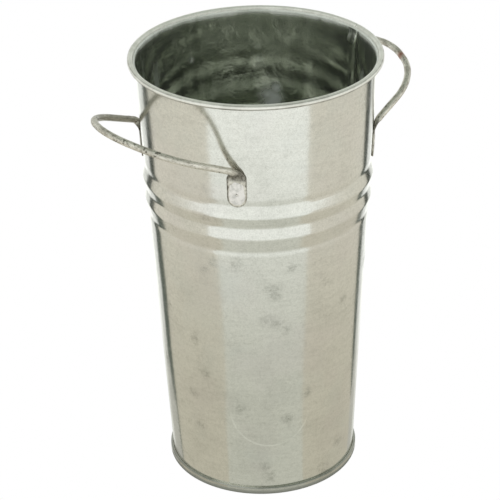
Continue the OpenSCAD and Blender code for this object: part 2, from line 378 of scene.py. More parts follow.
def make_base(materials):
    """The base, closed at its middle, with painted shade along the top of its fold, by the groove at
    the wall.
    """
    profile = pan_profile()

    def shift(row, angle, across):
        r, z = profile[row]
        inner = ease((LAND_R - 4 - r) / 12)
        sag = 0.18 * inner * math.sin(2 * angle + 0.4) * r / LAND_R
        uneven = 0.035 * ease((z - 2) / 2) * (math.sin(11 * angle) * math.sin(5 * angle + 2) - 1)
        return (uneven if r > HEM_R + SHEET else 0.0), sag

    points = lathe(profile, shift)
    columns = len(SEAM_STEPS) + COLUMNS
    faces = grid_faces(len(profile), columns)
    last = (len(profile) - 1) * columns
    low, high = len(points), len(points) + 1
    points = np.vstack([points, [[0, 0, BASE_RECESS], [0, 0, BASE_RECESS + SHEET]]])
    faces += [(low, (i + 1) % columns, i) for i in range(columns)]
    faces += [(high, last + i, last + (i + 1) % columns) for i in range(columns)]
    pan = add_mesh("base_pan_sheet", points, faces, materials["base"],
                   ("base_pan",))
    painted_shade_and_dark_lines = []
    for r, z in profile:
        # Painted shade along the top of the fold, by the groove at the wall
        round_fold = math.degrees(math.atan2(z - FOLD_Z, r - FLANGE_R - SHEET / 2))
        painted_shade_and_dark_lines += [0.82 * bump(round_fold - 38, 48) if z > FOLD_Z - 0.1 else 0.0] * columns
    add_painted_shade_and_lines(pan, painted_shade_and_dark_lines + [0.0, 0.0])
    return pan


def make_sealant(materials):
    """A hollowed bead of sealant in the corner inside the base seam, just clear of the sheet."""
    corner_r = HEM_R - SHEET
    gap = 0.01
    hollow = arc((corner_r - SEALANT_W, SHEET + SEALANT_W), SEALANT_W - 0.2, -82, -8, 9)
    profile = [(corner_r - gap, SHEET + gap), (corner_r - gap, SHEET + SEALANT_W)] + hollow[::-1]
    profile += [(corner_r - SEALANT_W, SHEET + gap)]

    def shift(row, angle, across):
        r, z = profile[row]
        place = Vector((7 * math.cos(angle), 7 * math.sin(angle), 0.4 * z))
        loose = ease((corner_r - r) / 0.4)
        return 0.22 * loose * noise.noise(place), 0.0

    faces = grid_faces(len(profile), len(SEAM_STEPS) + COLUMNS, close_rows=True)
    return add_mesh("base_sealant_bead", lathe(profile, shift), faces, materials["sealant"],
                    ("base_sealant",))


# --- Handles ---------------------------------------------------------------------------

SLOPE_ANGLE = math.atan(SLOPE)
WALL_OUT = np.array([math.cos(TAB_ANGLE) * math.cos(SLOPE_ANGLE),
                     math.sin(TAB_ANGLE) * math.cos(SLOPE_ANGLE), -math.sin(SLOPE_ANGLE)])
WALL_ROUND = np.array([-math.sin(TAB_ANGLE), math.cos(TAB_ANGLE), 0.0])
WALL_UP = np.cross(WALL_OUT, WALL_ROUND)


def on_wall(z):
    """The place on the wall's outside where a wire end is pressed, at a height."""
    return np.array([wall_r(z) * math.cos(TAB_ANGLE), wall_r(z) * math.sin(TAB_ANGLE), z])


def flatness(u):
    """1 on the flat part of the wire's end, 0 where it is round."""
    return 1 - float(ease((u - PADDLE_L + NECK_L) / NECK_L))


def half_width(u):
    """Half the wire's width at u above its end, which is rounded."""
    full = mix(WIRE_R, PADDLE_W / 2, flatness(u))
    tip = PADDLE_W / 2
    return full * math.sqrt(max(0.0, 1 - (1 - u / tip) ** 2)) if u < tip else full


def half_thick(u):
    """Half the wire's thickness at u above its end."""
    return mix(WIRE_R, PADDLE_T / 2, flatness(u))


def bend(p, v, q, radius, steps, share=1.0):
    """Points and directions along a bend at the corner v."""
    along, out = unit(v - p), unit(q - v)
    inward = unit(out - (along @ out) * along)
    whole = math.acos(along @ out)
    centre = v - along * radius * math.tan(whole / 2) + inward * radius
    return [(centre + radius * (along * math.sin(t) - inward * math.cos(t)),
             along * math.cos(t) + inward * math.sin(t)) for t in np.linspace(0, share * whole, steps)]


def half_path(shape):
    """(centre, direction, distance above the end) from the flattened end to the crown."""
    whole_reach, shoulder_w = shape
    corner = on_wall(BEND_Z) + WALL_OUT * WIRE_R

    def in_handle(half_w, reach):
        return np.array([corner[0] + reach * math.cos(HANDLE_RISE), half_w,
                         BEND_Z + reach * math.sin(HANDLE_RISE)])

    shoulder = in_handle(shoulder_w, whole_reach - SHOULDER_BACK)
    crown = in_handle(0, whole_reach)
    far = in_handle(-shoulder_w, whole_reach - SHOULDER_BACK)
    start = on_wall(PADDLE_Z) + WALL_OUT * WIRE_R
    root = bend(start, corner, shoulder, ROOT_R, 20)
    root_u = float(np.linalg.norm(root[0][0] - start))
    root_l = ROOT_R * math.acos(root[0][1] @ root[-1][1])
    tip = PADDLE_W / 2
    ends = [tip * (1 - math.cos(math.radians(a))) for a in (6, 14, 24, 35, 47, 60, 75)]
    ends += list(np.linspace(tip, root_u, 24)[:-1])
    path = [(start + WALL_UP * u, WALL_UP, u) for u in ends]
    path += [(p, way, root_u + root_l * i / (len(root) - 1)) for i, (p, way) in enumerate(root)]
    leg_start, leg_way = root[-1]
    shoulder_bend = bend(corner, shoulder, crown, SHOULDER_R, 26)
    leg = [(mix(leg_start, shoulder_bend[0][0], t), leg_way) for t in np.linspace(0, 1, 9)[1:-1]]
    rest = leg + shoulder_bend + bend(shoulder, crown, far, CROWN_R, 14, 0.5)
    return path + [(p, way, root_u + root_l) for p, way in rest]


def wire_painted_shade(u, w, h):
    """How dark the wire is painted at u above its end, at shares w and h of its width and thickness:
    painted shadow under the bend, and painted shade on the flat end's wall side, along its edges and at
    its tip.
    """
    flat = flatness(u)
    under_bend = 0.85 * float(ease((u - 14.5) / 2.5) * ease((23.0 - u) / 3.0) * ease((h + 0.4) / 0.5))
    crevice = flat * float(ease((0.1 - h) / 0.5))
    edge = flat * float(ease((-w - 0.78) / 0.14) + 0.3 * ease((w - 0.86) / 0.1))
    tip = 0.7 * float(ease((1.0 - u) / 0.8))
    return min(1.0, under_bend + crevice + edge + tip)


def half_rings(shape):
    """Rings of points for half a handle, with each point's place along the wire and its painted shade.
    """
    rings, marks = [], []
    side = WALL_ROUND
    travel, before = 0.0, None
    for centre, way, u in half_path(shape):
        travel += 0.0 if before is None else float(np.linalg.norm(centre - before))
        before = centre
        side = unit(side - (side @ way) * way)
        out = np.cross(side, way)
        centre = centre + out * (half_thick(u) - WIRE_R)
        power = mix(1.0, 0.4, flatness(u))
        ring = []
        for k in range(AROUND):
            c, s = math.cos(2 * math.pi * k / AROUND), math.sin(2 * math.pi * k / AROUND)
            across, through = math.copysign(abs(c) ** power, c), math.copysign(abs(s) ** power, s)
            w, h = half_width(u) * across, half_thick(u) * through
            sag = flatness(u) * w * w / (2 * wall_r(PADDLE_Z))
            ring.append(centre + side * w + out * (h - sag))
            marks.append((c, s, travel, wire_painted_shade(u, across, through)))
        rings.append(np.array(ring))
    return rings, np.array(marks)


def roughen(points, centres, seed):
    """Small dents and nicks, inwards only, in the wire's surface."""
    moved = []
    for p, c in zip(points, centres):
        soft = noise.noise(Vector(p * 0.16) + Vector((seed, 0, 0)))
        nick = noise.noise(Vector(p * 0.55) + Vector((0, seed, 0)))
        depth = 0.035 * (soft + 1) / 2 + 0.16 * float(ease((nick - 0.42) / 0.2))
        moved.append(p + (c - p) / max(np.linalg.norm(c - p), 1e-6) * depth)
    return np.array(moved)


def add_wire_marks(piece, marks, seed):
    """Stores where each point is on the drawn wire, for its streaks, and how much painted shade it has.
    """
    drawn = piece.data.attributes.new("drawn_place", "FLOAT_VECTOR", "POINT")
    places = marks[:, :3] * np.array([1.0, 1.0, 0.09]) + np.array([0, 0, seed])
    drawn.data.foreach_set("vector", places.astype(np.float32).ravel())
    painted_shade_and_dark_lines = piece.data.attributes.new("wire_painted_shade", "FLOAT", "POINT")
    painted_shade_and_dark_lines.data.foreach_set("value", marks[:, 3].astype(np.float32))


def make_handle(name, node, shape, turn, seed, material):
    """A whole handle from one half and its mirror image, turned round Z to its side."""
    half, half_marks = half_rings(shape)
    mirrored = [ring * np.array([1, -1, 1]) for ring in half[-2::-1]]
    rings = half + mirrored
    rows = half_marks.reshape(len(half), AROUND, 4)
    far_rows = rows[-2::-1].copy()
    far_rows[:, :, 2] = 2 * rows[-1, 0, 2] - far_rows[:, :, 2]
    marks = np.concatenate([rows, far_rows]).reshape(-1, 4)
    points = np.vstack(rings)
    centres = np.vstack([np.tile(ring.mean(axis=0), (AROUND, 1)) for ring in rings])
    points = roughen(points, centres, seed)
    faces = [face[::-1] for face in grid_faces(len(rings), AROUND)]
    last = (len(rings) - 1) * AROUND
    faces += [tuple(range(AROUND)), tuple(last + k for k in range(AROUND))[::-1]]
    spin = np.array(Matrix.Rotation(turn, 3, "Z"))
    wire = add_mesh(name, points @ spin.T, faces, material, (node,))
    add_wire_marks(wire, marks, seed)
    return wire


# --- Weld patches ----------------------------------------------------------------------

def make_weld(node, angle, seed, material):
    """An uneven dab of zinc paint on a wire end, with the electrode's mark in it."""
    out = np.array([math.cos(angle) * math.cos(SLOPE_ANGLE),
                    math.sin(angle) * math.cos(SLOPE_ANGLE), -math.sin(SLOPE_ANGLE)])
    across = np.array([-math.sin(angle), math.cos(angle), 0.0])
    up = np.cross(out, across)
    middle = PATCH_LOW + PATCH_L / 2
    base = np.array([wall_r(middle) * math.cos(angle), wall_r(middle) * math.sin(angle), middle])
    rings, around = 18, 56
    straight = (PATCH_L - PATCH_W) / 2
    sunk, underside = 0.03, -0.08

    def surface(w, thick):
        return PADDLE_T - sunk - w * w / (2 * wall_r(PADDLE_Z)) + thick

    def place(share, k, lower):
        a = 2 * math.pi * k / around
        edge = 1 - 0.10 * (1 + noise.noise(Vector((2.2 * math.cos(a) + seed, 2.2 * math.sin(a), 0))))
        stretch = straight * math.copysign(min(1, abs(2 * math.sin(a))), math.sin(a))
        w = share * edge * PATCH_W / 2 * math.cos(a)
        v = share * edge * (PATCH_W / 2 * math.sin(a) + stretch)
        lump = noise.noise(Vector((w * 0.55 + seed, v * 0.55, 3.0)))
        thick = PATCH_T * (1 - share ** 5) * (0.72 + 0.22 * lump)
        d = math.hypot(w, v + MARK_DROP)
        thick -= MARK_DEPTH * bump(d, MARK_R * 0.8) - 0.05 * bump(d - MARK_R * 1.25, 0.35)
        return base + across * w + up * v + out * surface(w, underside if lower else thick)

    def dent(share, k):
        a = 2 * math.pi * k / around
        w, v = share * PATCH_W / 2 * math.cos(a), share * PATCH_L / 2 * math.sin(a)
        return 0.85 * bump(math.hypot(w, v + MARK_DROP), 0.75)

    points, faces, dents = [], [], []
    shares = np.linspace(1, 0.06, rings)
    for share in shares:
        points += [place(share, k, False) for k in range(around)]
        dents += [dent(share, k) for k in range(around)]
    faces += [face[::-1] for face in grid_faces(rings, around)]
    top = len(points)
    points.append(place(0, 0, False))
    start = (rings - 1) * around
    faces += [(top, start + k, start + (k + 1) % around) for k in range(around)]
    under = len(points)
    points += [place(1, k, True) for k in range(around)]
    faces += [(k, under + k, under + (k + 1) % around, (k + 1) % around) for k in range(around)]
    centre = len(points)
    points.append(place(0, 0, True))
    faces += [(centre, under + (k + 1) % around, under + k) for k in range(around)]
    patch = add_mesh(node + "_patch", np.array(points), faces, material, (node,))
    dents += [dent(0, 0)] + [0.0] * (len(points) - len(dents) - 1)
    layer = patch.data.attributes.new("dent", "FLOAT", "POINT")
    layer.data.foreach_set("value", np.array(dents, dtype=np.float32))
    return patch


# --- Materials -------------------------------------------------------------------------

# The shader's Mix node names its colour sockets alike, so they are known by number
MIX_A, MIX_B, MIX_RESULT = 6, 7, 2


class Surface:
    """A Principled material whose nodes are added one at a time."""

    def __init__(self, name, metallic):
        self.material = bpy.data.materials.new(name)
        self.material.use_nodes = True
        self.tree = self.material.node_tree
        self.shader = self.tree.nodes["Principled BSDF"]
        self.shader.inputs["Metallic"].default_value = metallic
        self.place = self.add("ShaderNodeTexCoord").outputs["Object"]

    def add(self, kind, **settings):
        node = self.tree.nodes.new(kind)
        for key, value in settings.items():
            setattr(node, key, value)
        return node

    def join(self, source, socket):
        self.tree.links.new(source, socket)

    def scaled(self, scale):
        """The object's place, stretched by a factor on each axis."""
        node = self.add("ShaderNodeMapping")
        node.inputs["Scale"].default_value = scale
        self.join(self.place, node.inputs["Vector"])
        return node.outputs["Vector"]

    def noise(self, scale, detail=3.0, rough=0.55, place=None, distortion=0.0):
        """Noise from 0 to 1, in waves per metre."""
        node = self.add("ShaderNodeTexNoise")
        node.inputs["Scale"].default_value = scale
        node.inputs["Detail"].default_value = detail
        node.inputs["Roughness"].default_value = rough
        node.inputs["Distortion"].default_value = distortion
        self.join(place or self.place, node.inputs["Vector"])
        return node.outputs["Fac"]

    def cells(self, scale):
        """Soft-edged crystals, each with its own value."""
        node = self.add("ShaderNodeTexVoronoi", feature="SMOOTH_F1")
        node.inputs["Scale"].default_value = scale
        self.join(self.place, node.inputs["Vector"])
        return node.outputs["Color"]

    def range(self, value, low, high, to_low=0.0, to_high=1.0):
        """A smooth step from to_low to to_high as a value goes from low to high."""
        node = self.add("ShaderNodeMapRange", interpolation_type="SMOOTHSTEP")
        self.join(value, node.inputs["Value"])
        keys = ("From Min", "From Max", "To Min", "To Max")
        for key, number in zip(keys, (low, high, to_low, to_high)):
            node.inputs[key].default_value = number
        return node.outputs["Result"]

    def math(self, kind, a, b):
        """A sum on two sockets or numbers."""
        node = self.add("ShaderNodeMath", operation=kind)
        for socket, value in zip(node.inputs, (a, b)):
            if isinstance(value, (int, float)):
                socket.default_value = value
            else:
                self.join(value, socket)
        return node.outputs["Value"]

    def blend(self, share, a, b):
        """Colour a where the share is 0, and b where it is 1."""
        node = self.add("ShaderNodeMix", data_type="RGBA")
        self.join(share, node.inputs["Factor"])
        for socket, value in zip((node.inputs[MIX_A], node.inputs[MIX_B]), (a, b)):
            if isinstance(value, tuple):
                socket.default_value = (*value, 1.0)
            else:
                self.join(value, socket)
        return node.outputs[MIX_RESULT]

    def height(self):
        """The place's height above the floor."""
        parts = self.add("ShaderNodeSeparateXYZ")
        self.join(self.place, parts.inputs["Vector"])
        return parts.outputs["Z"]

    def distance(self, centre):
        """The distance from a centre given in mm."""
        node = self.add("ShaderNodeVectorMath", operation="DISTANCE")
        self.join(self.place, node.inputs[0])
        node.inputs[1].default_value = tuple(c * MM for c in centre)
        return node.outputs["Value"]

    def spot(self, centre, size, edge_noise):
        """1 inside a ragged round patch, 0 outside it, with its centre and size in mm."""
        ragged = self.math("MULTIPLY", edge_noise, size * 1.3 * MM)
        distance = self.math("ADD", self.distance(centre), ragged)
        return self.range(distance, size * 1.75 * MM, size * 0.65 * MM)

    def bumps(self, *layers):
        """Stacks (height, depth in mm) layers of relief onto the shader."""
        normal = None
        for height, depth in layers:
            node = self.add("ShaderNodeBump")
            node.inputs["Strength"].default_value = 1.0
            node.inputs["Distance"].default_value = depth * MM
            self.join(height, node.inputs["Height"])
            if normal:
                self.join(normal, node.inputs["Normal"])
            normal = node.outputs["Normal"]
        self.join(normal, self.shader.inputs["Normal"])

    def painted_shade_and_dark_lines(self, patchy):
        """The piece's stored dark lines and painted shade, thinner here and there."""
        stored = self.add("ShaderNodeAttribute", attribute_name="painted_shade_and_dark_lines").outputs["Fac"]
        return self.math("MULTIPLY", stored, self.range(patchy, 0.1, 0.8, 0.7, 1.0))

    def finish(self, colour, roughness):
        """Joins the colour and roughness to the shader, and gives the material."""
        self.join(colour, self.shader.inputs["Base Color"])
        self.join(roughness, self.shader.inputs["Roughness"])
        return self.material


def around_wall(degrees, z, inset=0.0):
    """A place on the wall at an angle round from the -Y side, inset from its outside."""
    a = math.radians(degrees - 90)
    r = wall_r(z) - inset
    return (r * math.cos(a), r * math.sin(a), z)


# Worn or stained places on the wall: angle round from the -Y side, height, size
STAINS = (
    (-31, 136, 6.5), (-36, 118, 5.5), (-31, 116, 6), (-25, 111, 4.5), (-51, 153, 5.5), (-63, 153, 5),
    (-78, 100, 5.5), (-72, 78, 5), (-82, 62, 4.5), (-78, 41, 5.5), (-24, 51, 5), (-38, 19, 5),
    (-35, 12, 5.5), (-52, 58, 4.5), (-22, 150, 4), (14, 22, 5.5), (-69, 148, 5), (-12, 66, 4.5),
    (12, 118, 5), (40, 130, 6), (75, 60, 6), (120, 90, 6), (160, 150, 6), (185, 45, 6),
    (205, 110, 6), (250, 70, 6),
)
# Dried splashes on the wall's inside, given in the same way
SPLASHES = ((134, 197, 9.5), (131, 203, 5), (176, 225, 3.4), (60, 60, 8), (250, 120, 7))
# Lower half of a thin pale ring, a painted reflection: angle round, height of its centre, radius
REFLECTION_ARC = (-34, 56, 22.5)
# Painted shade on the left handle's rear leg, and rust on the right one: centre, size
REAR_LEG_SHADE = ((-72.0, 38.0, 222.0), 30.0)
RUST = ((90.3, -18.2, 230.8), 4.0)


def spots(s, places, inset, edge_noise):
    """Mask of a list of spots on the wall."""
    mask = None
    for degrees, z, size in places:
        spot = s.spot(around_wall(degrees, z, inset), size, edge_noise)
        mask = spot if mask is None else s.math("MAXIMUM", mask, spot)
    return mask


def stained(s, ragged, fleck):
    """Mask of the worn places: blurred spots that the fine flecks break up."""
    smudge = s.range(s.noise(62, 4.0, 0.6), 0.61, 0.76, 0.0, 0.6)
    patch = s.math("MAXIMUM", spots(s, STAINS, 0.0, ragged), smudge)
    return s.math("MULTIPLY", patch, s.range(fleck, 0.34, 0.60, 0.35, 1.0))


def painted_reflection_arc(s, ragged):
    """Mask of a thin pale arc, open at its top: a painted reflection."""
    degrees, z, radius = REFLECTION_ARC
    away = s.distance(around_wall(degrees, z))
    off = s.math("ABSOLUTE", s.math("SUBTRACT", away, radius * MM), 0.0)
    line = s.range(off, 0.75 * MM, 0.25 * MM)
    low = s.range(s.height(), (z + 2) * MM, (z - 8) * MM)
    return s.math("MULTIPLY", s.math("MULTIPLY", line, low), s.range(ragged, 0.35, 0.55, 0.3, 1.0))


def galvanised(name, light, dull, gloss):
    """Zinc-coated sheet: fine grain, faint spangle, cloudy dull patches and stains."""
    s = Surface(name, 1.0)
    grain = s.noise(1300, 2.0, 0.7)
    fleck = s.noise(480, 3.0, 0.7)
    rolled = s.noise(330, 3.0, 0.6, place=s.scaled((0.2, 0.2, 1.6)))
    spangle = s.cells(170)
    cloud = s.range(s.noise(38, 5.0, 0.62, distortion=0.4), 0.44, 0.72)
    ragged = s.noise(150, 4.0, 0.65)
    patch = stained(s, ragged, fleck)
    tone = s.math("ADD", s.math("MULTIPLY", cloud, 0.19), s.range(rolled, 0.30, 0.75, 0.0, 0.14))
    tone = s.math("ADD", tone, s.math("MULTIPLY", patch, 0.58))
    tone = s.math("ADD", tone, s.range(fleck, 0.40, 0.72, 0.0, 0.20))
    tone = s.math("ADD", tone, s.range(grain, 0.35, 0.70, 0.0, 0.22))
    colour = s.blend(tone, light, dull)
    colour = s.blend(s.range(spangle, 0.1, 0.9, 0.0, 0.05), colour, (0.9, 0.9, 0.86))
    colour = s.blend(s.range(s.noise(21, 3.0, 0.6), 0.46, 0.66, 0.0, 0.22), colour, (0.74, 0.69, 0.69))
    colour = s.blend(s.range(s.noise(27, 3.0, 0.6), 0.50, 0.68, 0.0, 0.22), colour, (0.70, 0.735, 0.71))
    # Painted reflection: a thin pale arc low on the front of the wall
    colour = s.blend(s.math("MULTIPLY", painted_reflection_arc(s, ragged), 0.45), colour, (0.97, 0.97, 0.93))
    # Painted shade along the top of the base's fold, from the stored attribute
    colour = s.blend(s.painted_shade_and_dark_lines(cloud), colour, (0.15, 0.155, 0.13))
    rough = s.math("ADD", s.math("MULTIPLY", cloud, 0.05), gloss)
    rough = s.math("ADD", rough, s.math("MULTIPLY", patch, 0.12))
    rough = s.math("ADD", rough, s.range(grain, 0.3, 0.7, 0.0, 0.06))
    s.bumps((s.noise(45, 2.0), 0.12), (fleck, 0.010), (grain, 0.006))
    return s.finish(colour, rough)


def pale_band_mask(s, runs):
    """Mask of a paler, duller band just under the rim, thinner where water has run."""
    height = s.height()
    band = s.range(height, (CURL_Z - 7.5) * MM, (CURL_Z + 0.5) * MM)
    band = s.math("MULTIPLY", band, s.range(height, (CURL_Z - 4) * MM, CURL_Z * MM, 0.4, 1.0))
    return s.math("MULTIPLY", band, s.range(runs, 0.0, 1.0, 1.0, 0.6))


def worn_inside():
    """The inside: duller zinc with water runs, dried splashes, a paler band under the rim, and painted
    shade at the seam.
    """
    s = Surface("galvanised_inside", 1.0)
    grain = s.noise(900, 3.0, 0.65)
    runs = s.range(s.noise(70, 4.0, 0.6, place=s.scaled((1.0, 1.0, 0.22))), 0.40, 0.68)
    blotch = s.range(s.noise(65, 5.0, 0.68, distortion=0.6), 0.42, 0.66)
    tone = s.math("ADD", s.math("MULTIPLY", runs, 0.40), s.math("MULTIPLY", blotch, 0.42))
    tone = s.math("ADD", tone, s.range(grain, 0.40, 0.72, 0.0, 0.25))
    colour = s.blend(tone, (0.85, 0.862, 0.82), (0.45, 0.48, 0.42))
    edge = s.range(s.noise(60, 1.5, 0.5), 0.25, 0.75, 0.3, 0.62)
    splash = spots(s, SPLASHES, SHEET, edge)
    splash = s.math("MULTIPLY", splash, s.range(blotch, 0.0, 1.0, 1.0, 0.55))
    colour = s.blend(splash, colour, (0.74, 0.77, 0.76))
    pale_band = pale_band_mask(s, runs)
    colour = s.blend(s.math("MULTIPLY", pale_band, 0.7), colour, (0.88, 0.89, 0.86))
    # Painted shade at the seam, from the stored attribute
    painted_shade_and_dark_lines = s.painted_shade_and_dark_lines(blotch)
    colour = s.blend(painted_shade_and_dark_lines, colour, (0.10, 0.11, 0.09))
    pale = s.math("MAXIMUM", s.math("MULTIPLY", splash, 0.55), s.math("MULTIPLY", pale_band, 0.85))
    s.join(s.range(pale, 0.0, 1.0, 0.96, 0.0), s.shader.inputs["Metallic"])
    rough = s.math("ADD", s.math("MULTIPLY", blotch, 0.05), s.range(pale, 0.0, 0.6, 0.06, 0.45))
    rough = s.math("MAXIMUM", rough, s.math("MULTIPLY", painted_shade_and_dark_lines, 0.5))
    s.bumps((s.noise(60, 2.0), 0.12), (blotch, 0.03), (grain, 0.008))
    return s.finish(colour, rough)


def worn_rim():
    """The rim's curl: zinc worn dull and pale by handling, with a thin dark line and painted shade
    under it.
    """
    s = Surface("worn_rim", 0.62)
    grain = s.noise(900, 3.0, 0.65)
    cloud = s.range(s.noise(110, 4.0, 0.6), 0.40, 0.68)
    tone = s.math("ADD", s.math("MULTIPLY", cloud, 0.35), s.range(grain, 0.4, 0.75, 0.0, 0.3))
    colour = s.blend(tone, (0.93, 0.92, 0.87), (0.68, 0.67, 0.62))
    # The stored dark line along the curl's top, and painted shade under the curl
    colour = s.blend(s.painted_shade_and_dark_lines(cloud), colour, (0.19, 0.175, 0.145))
    s.bumps((cloud, 0.03), (grain, 0.012))
    return s.finish(colour, s.range(s.math("ADD", cloud, grain), 0.4, 1.5, 0.42, 0.58))


def weathered_wire():
    """Galvanised wire: drawing streaks along it, dark nicks, painted shade at the flattened ends and on
    the left handle's rear leg, and rust.
    """
    s = Surface("galvanised_wire", 1.0)
    drawn = s.add("ShaderNodeAttribute", attribute_name="drawn_place").outputs["Vector"]
    painted_shade_and_dark_lines = s.add("ShaderNodeAttribute", attribute_name="wire_painted_shade").outputs["Fac"]
    grain = s.noise(700, 3.0, 0.65)
    cloud = s.range(s.noise(120, 4.0, 0.6), 0.42, 0.66)
    streak = s.range(s.noise(2.6, 4.0, 0.6, place=drawn), 0.50, 0.62)
    nick = s.range(s.noise(230, 3.0, 0.7), 0.59, 0.67)
    tone = s.math("ADD", s.math("MULTIPLY", cloud, 0.38), s.range(grain, 0.46, 0.70, 0.0, 0.42))
    tone = s.math("ADD", tone, s.math("MULTIPLY", streak, 0.42))
    colour = s.blend(tone, (0.82, 0.79, 0.72), (0.37, 0.34, 0.29))
    colour = s.blend(s.math("MULTIPLY", nick, 0.8), colour, (0.11, 0.10, 0.08))
    scratches = s.range(s.noise(900, 2.0, 0.6, place=s.scaled((1.0, 1.0, 0.25))), 0.35, 0.65, 0.55, 1.0)
    # Painted shadow and shade at the flattened ends, broken by scratches
    colour = s.blend(s.math("MULTIPLY", painted_shade_and_dark_lines, scratches), colour, (0.075, 0.068, 0.055))
    # Painted shade on the left handle's rear leg
    rear_leg_shade = s.spot(*REAR_LEG_SHADE, cloud)
    colour = s.blend(s.math("MULTIPLY", rear_leg_shade, 0.62), colour, (0.24, 0.235, 0.20))
    rust = s.spot(*RUST, s.noise(400, 3.0))
    colour = s.blend(s.math("MULTIPLY", rust, 0.9), colour, (0.30, 0.12, 0.075))
    rough = s.range(s.math("ADD", cloud, grain), 0.4, 1.5, 0.40, 0.60)
    s.bumps((streak, -0.04), (cloud, 0.03), (grain, 0.015))
    return s.finish(colour, rough)


def zinc_paint():
    """Pale, slightly pinkish zinc-rich paint, thin at its edges."""
    s = Surface("zinc_touch_up", 0.12)
    blotch = s.noise(330, 4.0, 0.6)
    grain = s.noise(1400, 2.0)
    colour = s.blend(s.range(blotch, 0.40, 0.66), (0.90, 0.86, 0.84), (0.67, 0.65, 0.63))
    # The electrode's dent is painted dark
    dent = s.add("ShaderNodeAttribute", attribute_name="dent").outputs["Fac"]
    colour = s.blend(dent, colour, (0.16, 0.155, 0.15))
    rough = s.range(blotch, 0.3, 0.7, 0.38, 0.6)
    s.bumps((blotch, 0.06), (grain, 0.012))
    return s.finish(colour, rough)


def sealant():
    """Dull grey sealing compound, lumpy where it was laid by hand."""
    s = Surface("seam_sealant", 0.0)
    lumps = s.noise(240, 4.0)
    colour = s.blend(lumps, (0.20, 0.205, 0.20), (0.34, 0.345, 0.33))
    s.bumps((lumps, 0.12))
    return s.finish(colour, s.range(lumps, 0.3, 0.7, 0.5, 0.75))


def drawn_wire():
    """Bright drawn steel, for the wire inside the rim."""
    s = Surface("bare_wire", 1.0)
    lines = s.noise(500, 3.0)
    colour = s.blend(lines, (0.42, 0.41, 0.39), (0.58, 0.57, 0.55))
    s.bumps((lines, 0.01))
    return s.finish(colour, s.range(lines, 0.3, 0.7, 0.3, 0.5))


# --- Studio ----------------------------------------------------------------------------

CAMERA_AZIMUTH = math.radians(-38.5)
CAMERA_DISTANCE, CAMERA_HEIGHT = 1.110, 0.7259
CAMERA_PITCH, CAMERA_YAW, CAMERA_ROLL = math.radians(28.21), math.radians(-0.277), math.radians(-1.264)
CAMERA_LENS = 159.4
TO_CAMERA = Matrix.Rotation(CAMERA_AZIMUTH, 4, "Z")


def make_camera():
    """The camera, turned round Z from a place on the -Y side."""
    ahead = Vector((math.sin(CAMERA_YAW) * math.cos(CAMERA_PITCH),
                    math.cos(CAMERA_YAW) * math.cos(CAMERA_PITCH), -math.sin(CAMERA_PITCH)))
    level = ahead.cross(Vector((0, 0, 1))).normalized()
    above = level.cross(ahead)
    right = level * math.cos(CAMERA_ROLL) + above * math.sin(CAMERA_ROLL)
    up = above * math.cos(CAMERA_ROLL) - level * math.sin(CAMERA_ROLL)
    place = Matrix((right, up, -ahead)).transposed().to_4x4()
    place.translation = Vector((0, -CAMERA_DISTANCE, CAMERA_HEIGHT))
    data = bpy.data.cameras.new("camera")
    data.lens = CAMERA_LENS
    data.clip_start, data.clip_end = 0.05, 50
    camera = bpy.data.objects.new("camera", data)
    camera.matrix_world = TO_CAMERA @ place
    bpy.context.scene.collection.objects.link(camera)
    bpy.context.scene.camera = camera


def glow(name, near, far, start=0.18, end=0.48):
    """Light whose colour goes from near to far between two distances from the bucket's axis."""
    material = bpy.data.materials.new(name)
    material.use_nodes = True
    tree = material.node_tree
    tree.nodes.clear()
    output = tree.nodes.new("ShaderNodeOutputMaterial")
    light = tree.nodes.new("ShaderNodeEmission")
    place = tree.nodes.new("ShaderNodeTexCoord")
    length = tree.nodes.new("ShaderNodeVectorMath")
    length.operation = "LENGTH"
    level = tree.nodes.new("ShaderNodeMapRange")
    level.interpolation_type = "SMOOTHSTEP"
    level.inputs["From Min"].default_value = start
    level.inputs["From Max"].default_value = end
    colours = tree.nodes.new("ShaderNodeMix")
    colours.data_type = "RGBA"
    colours.inputs[MIX_A].default_value = (*near, 1.0)
    colours.inputs[MIX_B].default_value = (*far, 1.0)
    tree.links.new(place.outputs["Object"], length.inputs[0])
    tree.links.new(length.outputs["Value"], level.inputs["Value"])
    tree.links.new(level.outputs["Result"], colours.inputs["Factor"])
    tree.links.new(colours.outputs[MIX_RESULT], light.inputs["Color"])
    tree.links.new(light.outputs["Emission"], output.inputs["Surface"])
    return material


# Mirrored at a vertical wall, a ray goes round by twice the wall's facing, and a little more
# because the wall tapers
MIRROR_TURN = 2.05
# What lies further off is mirrored higher up, where the wall is wider by this share
WIDEN = 0.0355


def make_fan(name, rows, material, height=-0.5):
    """A sheet on the floor that the wall mirrors between two angles from the camera's side.

    Each row gives a distance from the wall in millimetres, and the angles between which the
    wall faces there.
    """
    spread = 13
    points = []
    for distance, start, end in rows:
        foot = FOOT_R + WIDEN * distance
        for facing in np.radians(np.linspace(start, end, spread)):
            turned = MIRROR_TURN * facing
            points.append((foot * math.sin(facing) + distance * math.sin(turned),
                           -foot * math.cos(facing) - distance * math.cos(turned), height))
    mesh = bpy.data.meshes.new(name)
    faces = grid_faces(len(rows), spread, close_columns=False)
    mesh.from_pydata([tuple(c * MM for c in p) for p in points], [], faces)
    mesh.materials.append(material)
    fan = bpy.data.objects.new(name, mesh)
    fan.matrix_world = TO_CAMERA
    fan.visible_camera = False
    bpy.context.scene.collection.objects.link(fan)


def make_floor():
    """A wide white floor, seen by the camera only: what the bucket mirrors is the fans."""
    mesh = bpy.data.meshes.new("floor")
    half, below = 12.0, 0.001
    corners = [(-half, -half, 0), (half, -half, 0), (half, half, 0), (-half, half, 0)]
    mesh.from_pydata(corners, [], [(0, 1, 2, 3)])
    mesh.materials.append(glow("floor_white", (1.0, 1.0, 1.0), (1.0, 1.0, 1.0)))
    floor = bpy.data.objects.new("floor", mesh)
    floor.location.z = -below
    bpy.context.scene.collection.objects.link(floor)
    floor.visible_glossy = False
    floor.visible_diffuse = False


